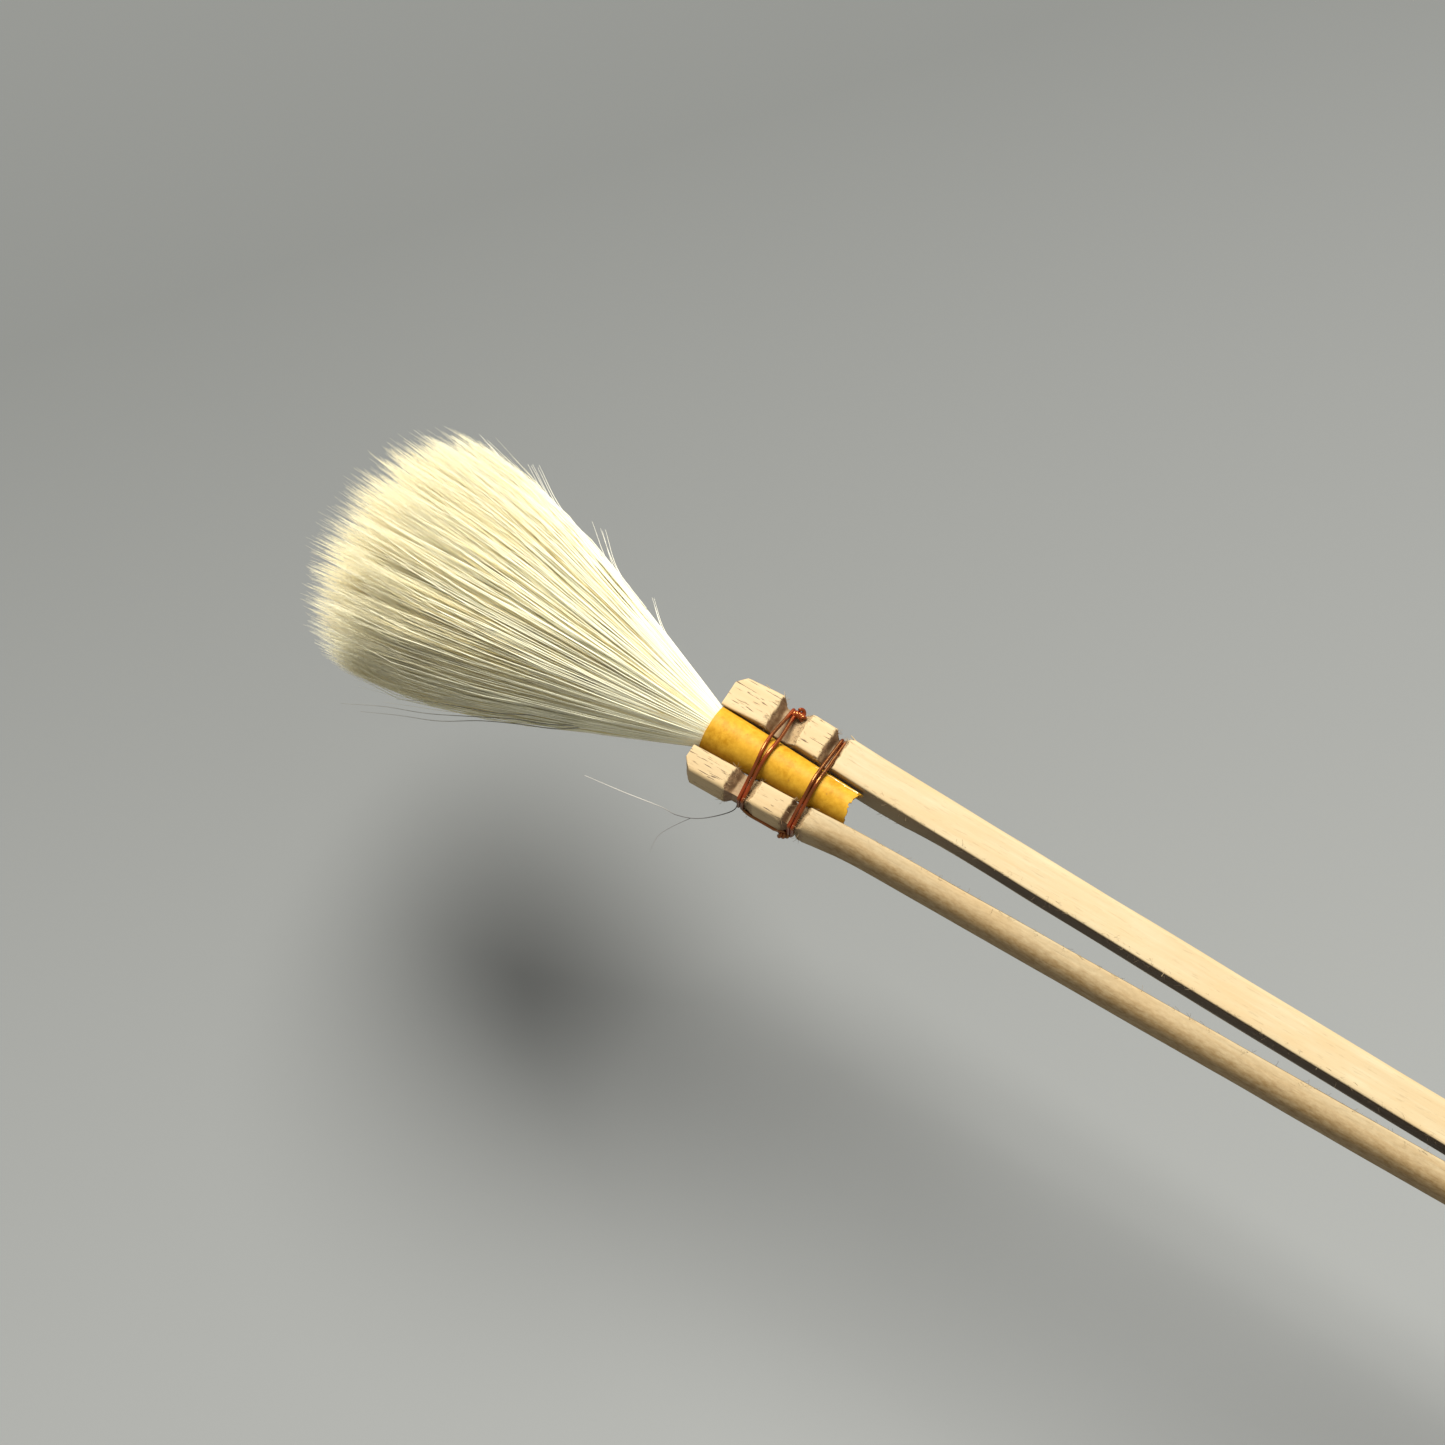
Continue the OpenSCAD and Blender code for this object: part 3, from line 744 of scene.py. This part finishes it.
wire_finish, tree, shader = new_material("enamelled_wire")
place = add(tree, "ShaderNodeTexCoord").outputs["Object"]
patch = mottle_mask(tree, place, 260.0, 260.0, 2.0)
tree.links.new(blend_colours(tree, ramp(tree, patch, 0.4, 0.62), (0.17, 0.014, 0.005), (0.05, 0.005, 0.003)),
               shader.inputs["Base Color"])
shader.inputs["IOR"].default_value = 1.8
shader.inputs["Specular IOR Level"].default_value = 1.0
shader.inputs["Specular Tint"].default_value = (1.0, 0.50, 0.15, 1)
tree.links.new(calc(tree, "ADD", calc(tree, "MULTIPLY", patch, 0.12), 0.2), shader.inputs["Roughness"])

front_s, rear_s = 8.35 * MM, 15.75 * MM
front_side = -prong_edge(front_s, prongs["wide"])
rear_side = prong_edge(rear_s, prongs["narrow"])
for name, s, gaps, skew in (("front_tie_wire", front_s, (1.15 * MM, 0.52 * MM), -0.4 * MM),
                            ("rear_tie_wire", rear_s, (0.62 * MM, 0.52 * MM), -0.25 * MM)):
    loops_mesh = tube_mesh(name, tie_loops(s, *gaps, skew), [wire_r, wire_r], 20, closed=True)
    if name.startswith("front"):
        heart = Vector((fork_front - s - 0.65 * MM, front_side + 1.05 * MM, 1.35 * MM))
        line = arc_line(heart + Vector((0.6, 0.3, -0.3)) * MM, (-0.85, -0.5, 0.3),
                        1.7 * MM, math.radians(-70))
        ends = twisted_pair(line, 2.5, 80)
        extra = [[heart + Vector((0.40 * math.cos(a) - 0.25, -0.12 - 0.55 * math.sin(a),
                                  0.32 * math.cos(a) + 0.2)) * MM
                  for a in [math.radians(12 * k + 20) for k in range(27)]]]
    else:
        line = arc_line((fork_front - s - 0.1 * MM, rear_side - 0.5 * MM, -2.5 * MM), (0.55, 0.8, -0.15),
                        1.5 * MM, math.radians(-50))
        ends = twisted_pair(line, 1.7, 50)
        extra = [[(fork_front - b * MM, prong_edge(b * MM, prongs["narrow"]) + out * MM, -2.1 * MM)
                  for b, out in ((15.4, -0.3), (14.9, -0.2), (14.4, 0.0), (13.8, 0.1), (13, 0.08), (12, 0.06),
                                 (11, 0.06), (10.2, 0.04), (9.5, -0.1), (8.9, -0.3))]]
    ends_mesh = tube_mesh(name + "_ends", ends + extra, [wire_r] * (len(ends) + len(extra)), 18)
    shape = bmesh.new()
    shape.from_mesh(loops_mesh)
    shape.from_mesh(ends_mesh)
    shape.to_mesh(loops_mesh)
    shape.free()
    loops_mesh.materials.append(wire_finish)
    tie = link_object(name, loops_mesh)
    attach(tie, "handle")
    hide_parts(name.replace("_wire", ""))


# ---- Tuft ----
# Some tens of thousands of goat hairs that spread from the sleeve's mouth, roll in a little at
# the belly and end in a rounded dome. They cling together in small locks towards their tips.
hair_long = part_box("tuft_cover")[1].x - mouth.x
belly_r = 17.4 * MM
belly_at = 45 * MM
hair_mouth_r = 2.84 * MM
dome_r = 21 * MM
tuft_lean = math.radians(0.9)
rooted = 1.5 * MM


hair_finish, tree, shader = new_material("goat_hair")
# The tone attribute holds each hair's own random colour plus painted shade for hairs lying deeper in the
# tuft.
tone_and_shade = add(tree, "ShaderNodeAttribute", attribute_name="tone_and_shade").outputs["Fac"]
along = add(tree, "ShaderNodeAttribute", attribute_name="along").outputs["Fac"]
colour = blend_colours(tree, ramp(tree, tone_and_shade, 0.15, 0.75), (1.0, 0.97, 0.72), (1.0, 0.84, 0.37))
colour = blend_colours(tree, ramp(tree, tone_and_shade, 0.80, 0.92), colour, (0.72, 0.50, 0.20))
tip_share = calc(tree, "MULTIPLY", ramp(tree, along, 0.7, 1.0), 0.6)
colour = blend_colours(tree, tip_share, colour, (1.0, 0.95, 0.70))
tree.links.new(colour, shader.inputs["Base Color"])
shader.inputs["Roughness"].default_value = 0.45
shader.inputs["Sheen Weight"].default_value = 0.5
shader.inputs["Sheen Roughness"].default_value = 0.4

tree, size, result = make_group("tuft_of_hair", {
    "Hairs": (WHOLE, 4700), "Layer": (WHOLE, 0), "Layers": (WHOLE, 8),
    "Length": (FLOAT, hair_long + 6.0 * MM), "Belly Radius": (FLOAT, belly_r),
    "Belly Distance": (FLOAT, belly_at), "Mouth Radius": (FLOAT, hair_mouth_r),
    "Dome Radius": (FLOAT, dome_r), "Rooted Length": (FLOAT, rooted), "Hair Radius": (FLOAT, 0.05 * MM),
    "Lock Pull": (FLOAT, 0.9), "Seed": (FLOAT, 3.0)})
bends = 8
index = add(tree, "GeometryNodeInputIndex").outputs[0]
hair = calc(tree, "FLOOR", calc(tree, "DIVIDE", calc(tree, "ADD", index, 0.5), bends))
step = calc(tree, "SUBTRACT", index, calc(tree, "MULTIPLY", hair, bends))
at_root = calc(tree, "LESS_THAN", step, 0.5)
past_mouth = calc(tree, "MAXIMUM", calc(tree, "SUBTRACT", step, 1.0), 0.0)
t = calc(tree, "POWER", calc(tree, "DIVIDE", past_mouth, bends - 2), 1.15)
number = calc(tree, "ADD", calc(tree, "MULTIPLY", hair, size["Layers"]), size["Layer"])
total = calc(tree, "MULTIPLY", size["Hairs"], size["Layers"])
share = calc(tree, "DIVIDE", calc(tree, "ADD", number, 0.5), total)
rho = calc(tree, "POWER", share, 0.40)


def chance(tree, number, seed, salt):
    shifted = calc(tree, "ADD", calc(tree, "MULTIPLY", number, 1.37), calc(tree, "ADD", seed, salt))
    return add(tree, "ShaderNodeTexWhiteNoise", {"W": shifted}, noise_dimensions="1D").outputs["Value"]


luck = [chance(tree, number, size["Seed"], salt) for salt in (0.13, 11.7, 23.9, 37.1, 51.3)]
loose_part = calc(tree, "MULTIPLY", t, calc(tree, "SUBTRACT", 1.0, t))
drift = calc(tree, "MULTIPLY", calc(tree, "SUBTRACT", luck[0], 0.5), calc(tree, "MULTIPLY", loose_part, 0.55))
golden = math.pi * (3 - math.sqrt(5))
phi0 = calc(tree, "MULTIPLY", number, golden)
phi = calc(tree, "ADD", phi0, drift)
disc = [calc(tree, "MULTIPLY", rho, calc(tree, op, phi)) for op in ("COSINE", "SINE")]
disc0 = [calc(tree, "MULTIPLY", rho, calc(tree, op, phi0)) for op in ("COSINE", "SINE")]
spot = add(tree, "ShaderNodeCombineXYZ", {0: disc0[0], 1: disc0[1]}).outputs[0]
pull = calc(tree, "MULTIPLY", calc(tree, "POWER", t, 2.0), size["Lock Pull"])
locks, lock_tones = [], []
for cells, salt in ((5.0, 0.0), (22.0, 1.0)):
    offset = (salt * 3.7, salt * 1.9, 0)
    moved = add(tree, "ShaderNodeVectorMath", {0: spot, 1: offset}, operation="ADD").outputs[0]
    lock = add(tree, "ShaderNodeTexVoronoi", {"Vector": moved, "Scale": cells}, voronoi_dimensions="2D")
    back = add(tree, "ShaderNodeVectorMath", {0: lock.outputs["Position"], 1: offset},
               operation="SUBTRACT").outputs[0]
    locks.append(add(tree, "ShaderNodeSeparateXYZ", {0: back}).outputs)
    lock_tones.append(add(tree, "ShaderNodeSeparateXYZ", {0: lock.outputs["Color"]}).outputs)
    from_middle = lock.outputs["Distance"]
placed = []
for axis in (0, 1):
    value = disc[axis]
    for lock, strength in zip(locks, (0.25, 1.0)):
        shift = calc(tree, "MULTIPLY", calc(tree, "SUBTRACT", lock[axis], disc0[axis]), calc(
            tree, "MULTIPLY", pull, strength))
        value = calc(tree, "ADD", value, shift)
    placed.append(value)
wild = calc(tree, "MULTIPLY", calc(tree, "GREATER_THAN", luck[1], 0.985), calc(
    tree, "GREATER_THAN", rho, 0.93))
coarse = calc(tree, "MULTIPLY", calc(tree, "GREATER_THAN", luck[4], 0.88), calc(
    tree, "GREATER_THAN", rho, 0.82))
puff = calc(tree, "ADD", 1.0, calc(tree, "MULTIPLY", wild, calc(
    tree, "MULTIPLY", calc(tree, "POWER", t, 2.0), calc(tree, "MULTIPLY", luck[2], 0.14))))
puff = calc(tree, "ADD", puff, calc(tree, "MULTIPLY", coarse, calc(tree, "MULTIPLY", calc(
    tree, "ADD", calc(tree, "MULTIPLY", luck[2], 0.30), 0.06), loose_part)))

tip_r = calc(tree, "MULTIPLY", rho, size["Belly Radius"])
dome_rise = calc(tree, "SQRT", calc(
    tree, "SUBTRACT", calc(tree, "POWER", size["Dome Radius"], 2.0), calc(tree, "POWER", tip_r, 2.0)))
reach = calc(tree, "ADD", calc(tree, "SUBTRACT", size["Length"], size["Dome Radius"]), dome_rise)
lock_short = calc(tree, "ADD", calc(tree, "MULTIPLY", calc(tree, "POWER", lock_tones[1][0], 1.5), 4.6 * MM),
                  calc(tree, "MULTIPLY", from_middle, 9.0 * MM))
short = calc(tree, "ADD", calc(tree, "MULTIPLY", calc(tree, "POWER", luck[3], 5.0), 8 * MM), lock_short)
reach = calc(tree, "SUBTRACT", reach, short)
x = calc(tree, "SUBTRACT", calc(tree, "MULTIPLY", t, reach), calc(
    tree, "MULTIPLY", at_root, size["Rooted Length"]))
u = calc(tree, "DIVIDE", calc(tree, "MAXIMUM", x, 0.0), size["Belly Distance"])
outer = calc(tree, "POWER", rho, 4.0)
roll = calc(tree, "MULTIPLY", 0.15, calc(
    tree, "ADD", calc(tree, "MULTIPLY", calc(tree, "POWER", u, 7.0), outer),
    calc(tree, "MULTIPLY", u, calc(tree, "SUBTRACT", 1.0, outer))))
flare = calc(tree, "SUBTRACT", calc(tree, "MULTIPLY", u, 1.15), roll)
radius = calc(tree, "ADD", size["Mouth Radius"], calc(tree, "MULTIPLY", flare, calc(
    tree, "SUBTRACT", size["Belly Radius"], size["Mouth Radius"])))
radius = calc(tree, "SUBTRACT", calc(tree, "MULTIPLY", radius, puff), calc(
    tree, "MULTIPLY", at_root, 0.2 * MM))


def wander(tree, first, second, third):
    at = add(tree, "ShaderNodeCombineXYZ", {0: first, 1: second, 2: third}).outputs[0]
    drifting = add(tree, "ShaderNodeTexNoise", {"Vector": at, "Scale": 1.0}).outputs["Color"]
    return add(tree, "ShaderNodeSeparateXYZ", {0: drifting}).outputs


wave = wander(tree, calc(tree, "MULTIPLY", disc0[0], 9.0), calc(tree, "MULTIPLY", disc0[1], 9.0),
              calc(tree, "MULTIPLY", x, 70.0))
lone = wander(tree, calc(tree, "MULTIPLY", number, 0.37), calc(tree, "MULTIPLY", x, 55.0), size["Seed"])
spots = []
for axis in (0, 1):
    sway = calc(tree, "MULTIPLY", calc(tree, "SUBTRACT", wave[axis], 0.5), calc(
        tree, "MULTIPLY", t, 2.0 * MM))
    fidget = calc(tree, "MULTIPLY", calc(tree, "SUBTRACT", lone[axis], 0.5), calc(
        tree, "ADD", calc(tree, "MULTIPLY", loose_part, 5.0 * MM), calc(tree, "MULTIPLY", t, 0.5 * MM)))
    spots.append(calc(tree, "ADD", calc(tree, "MULTIPLY", placed[axis], radius), calc(
        tree, "ADD", sway, fidget)))
where = add(tree, "ShaderNodeCombineXYZ", {0: x, 1: spots[0], 2: spots[1]}).outputs[0]
dots = add(tree, "GeometryNodePoints", {
    "Count": calc(tree, "MULTIPLY", size["Hairs"], bends), "Position": where}).outputs[0]
tone_and_shade_value = calc(tree, "ADD", calc(tree, "MULTIPLY", luck[4], 0.45), calc(tree, "ADD", calc(
    tree, "MULTIPLY", lock_tones[1][1], 0.37), calc(tree, "MULTIPLY", lock_tones[0][1], 0.18)))
tone_and_shade_value = calc(tree, "MULTIPLY", tone_and_shade_value, calc(tree, "SUBTRACT", 1.0, coarse))
# Painted shade: hairs deeper inside the tuft get a higher tone, more golden and darker, as in the gaps
# between locks.
gap_shade = calc(tree, "MINIMUM", calc(tree, "MAXIMUM", calc(tree, "SUBTRACT", 0.95, rho), 0.0), 0.15)
tone_and_shade_value = calc(tree, "ADD", tone_and_shade_value, gap_shade)
body_value = calc(tree, "ADD", 0.9, calc(tree, "MULTIPLY", coarse, 0.9))
for label, field in (("along", t), ("tone_and_shade", tone_and_shade_value), ("body", body_value)):
    dots = add(tree, "GeometryNodeStoreNamedAttribute", {"Geometry": dots, "Name": label, "Value": field},
               data_type="FLOAT", domain="POINT").outputs[0]
strands = add(tree, "GeometryNodePointsToCurves", {
    "Points": dots, "Curve Group ID": hair, "Weight": t}).outputs[0]
along_field = add(tree, "GeometryNodeInputNamedAttribute", {"Name": "along"}, data_type="FLOAT").outputs[0]
body = add(tree, "GeometryNodeInputNamedAttribute", {"Name": "body"}, data_type="FLOAT").outputs[0]
thin = calc(tree, "MULTIPLY", calc(tree, "MULTIPLY", size["Hair Radius"], body), calc(
    tree, "SUBTRACT", 1.0, calc(tree, "MULTIPLY", calc(tree, "POWER", along_field, 2.5), 0.86)))
strands = add(tree, "GeometryNodeSetCurveRadius", {"Curve": strands, "Radius": thin}).outputs[0]
outline = add(tree, "GeometryNodeCurvePrimitiveCircle", {"Resolution": 3, "Radius": 1.0}).outputs[0]
tubes = add(tree, "GeometryNodeCurveToMesh", {"Curve": strands, "Profile Curve": outline})
if "Scale" in tubes.inputs:
    tree.links.new(thin, tubes.inputs["Scale"])
solid = add(tree, "GeometryNodeSetShadeSmooth", {"Geometry": tubes.outputs[0]}).outputs[0]
solid = add(tree, "GeometryNodeRealizeInstances", {"Geometry": solid}).outputs[0]
solid = add(tree, "GeometryNodeSetMaterial", {"Geometry": solid, "Material": hair_finish}).outputs[0]
tree.links.new(solid, result.inputs[0])

lean = Matrix.Translation(mouth) @ Matrix.Rotation(tuft_lean, 4, "Z")
layers = 8
for layer in range(layers):
    tuft = grow(f"tuft_hair_{layer + 1}", tree, {"Layer": layer, "Layers": layers, "Seed": 3.0})
    tuft.data.transform(lean)
    if layer == 0:
        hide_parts("tuft_core", "tuft_cover")
    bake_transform(tuft)


# ---- Loose hairs ----
# A few goat hairs that spring away from the tuft's sides, those on the narrow prong's side painted dark as
# painted shade, and one hair, dark behind the sleeve's mouth and pale in front of it, that was caught under
# the front tie and trails beside the narrow prong.
def smooth_run(points, steps=26):
    ends = [2 * np.array(points[0]) - np.array(points[1])] + [np.array(p) for p in points] + [
        2 * np.array(points[-1]) - np.array(points[-2])]
    run = []
    for k in range(1, len(ends) - 2):
        a, b, c, d = ends[k - 1:k + 3]
        for i in range(steps):
            u = i / steps
            run.append(0.5 * (2 * b + (c - a) * u + (2 * a - 5 * b + 4 * c - d) * u * u
                              + (3 * b - a - 3 * c + d) * u ** 3))
    run.append(ends[-2])
    return [(mouth.x + p[0] * MM, p[1] * MM, p[2] * MM) for p in run]


def taper(thick, tip=0.25):
    return lambda t: thick * (1 - (1 - tip) * t ** 2)


picker = random.Random(11)
springing = []
for tip_x, tip_y, root_x, root_y, many in ((40.1, -18.9, 26.0, -12.2, 5), (28.4, -15.6, 17.0, -8.9, 4),
                                           (16.2, -11.1, 8.5, -5.8, 3), (46.0, -18.3, 33.0, -14.6, 3)):
    for _ in range(many):
        shift, rise = picker.uniform(-1.6, 0.6), picker.uniform(-1.2, 2.4)
        lift_y = picker.uniform(-0.1, 0.9)
        middle = (root_x + 0.55 * (tip_x - root_x), root_y + 0.42 * (tip_y - root_y))
        springing.append(smooth_run([(root_x + shift, root_y, rise * 0.6),
                                     (middle[0] + shift, middle[1] + lift_y * 0.4, rise),
                                     (tip_x + shift * 1.4, tip_y + lift_y, rise * 1.2)]))
for wave, level, tip_x, tip_y in ((0.22, 0.0, 42.0, 22.3), (0.30, -0.8, 39.5, 21.9), (0.2, 1.0, 36.0, 18.2)):
    run = [(12.0, 6.8, level * 0.4)]
    for i in range(1, 7):
        share = i / 6
        run.append((12 + (tip_x - 12) * share,
                    7.2 + (tip_y - 7.2) * share ** 0.95 + wave * math.sin(i * 2.1 + level), level))
    springing.append(smooth_run(run, 8))
fine_hairs = [taper(0.055 * MM)] * (len(springing) - 3)
loose_mesh = tube_mesh("springing_hairs", springing, fine_hairs + [taper(0.07 * MM)] * 3, 4)
loose_finish, tree, shader = new_material("loose_goat_hair")
place = add(tree, "ShaderNodeTexCoord").outputs["Object"]
band = mottle_mask(tree, place, 260.0, 260.0, 2.0)
side = add(tree, "ShaderNodeSeparateXYZ", {0: place}).outputs[1]
# Painted shade: hairs on the narrow prong's side of the tuft are coloured dark.
colour = blend_colours(tree, ramp(tree, side, 2 * MM, 6 * MM), (0.95, 0.92, 0.78), (0.11, 0.105, 0.09))
colour = blend_colours(tree, calc(tree, "MULTIPLY", band, 0.3), colour, (0.60, 0.55, 0.42))
tree.links.new(colour, shader.inputs["Base Color"])
shader.inputs["Roughness"].default_value = 0.4
loose_mesh.materials.append(loose_finish)
loose = link_object("springing_hairs", loose_mesh)
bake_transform(loose)

long_hair = smooth_run([(-7.2, 5.4, -2.9), (-7.7, 6.9, -2.9), (-6.4, 8.8, -2.7), (-4.3, 10.7, -2.4),
                        (-1.9, 11.7, -2.2), (0.4, 11.9, -2.0), (5.5, 12.8, -1.8), (10.7, 13.6, -1.5)], 12)
side_hair = smooth_run([(-3.7, 11.0, -2.4), (-2.4, 12.8, -2.8), (-1.4, 14.7, -3.0), (-1.3, 16.2, -3.2),
                        (-1.5, 17.4, -3.4)], 12)
caught_mesh = tube_mesh("caught_hair", [long_hair, side_hair],
                        [taper(0.07 * MM, 0.35), taper(0.04 * MM, 0.3)], 5)
caught_finish, tree, shader = new_material("caught_hair")
place = add(tree, "ShaderNodeTexCoord").outputs["Object"]
forward = add(tree, "ShaderNodeSeparateXYZ", {0: place}).outputs[0]
# Darker behind the sleeve's mouth, paler in front of it.
pale_share = ramp(tree, forward, mouth.x - 2 * MM, mouth.x + 3 * MM)
tree.links.new(blend_colours(tree, pale_share, (0.10, 0.095, 0.09), (0.62, 0.58, 0.50)),
               shader.inputs["Base Color"])
shader.inputs["Roughness"].default_value = 0.4
caught_mesh.materials.append(caught_finish)
caught_hair = link_object("caught_hair", caught_mesh)
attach(caught_hair, "handle")
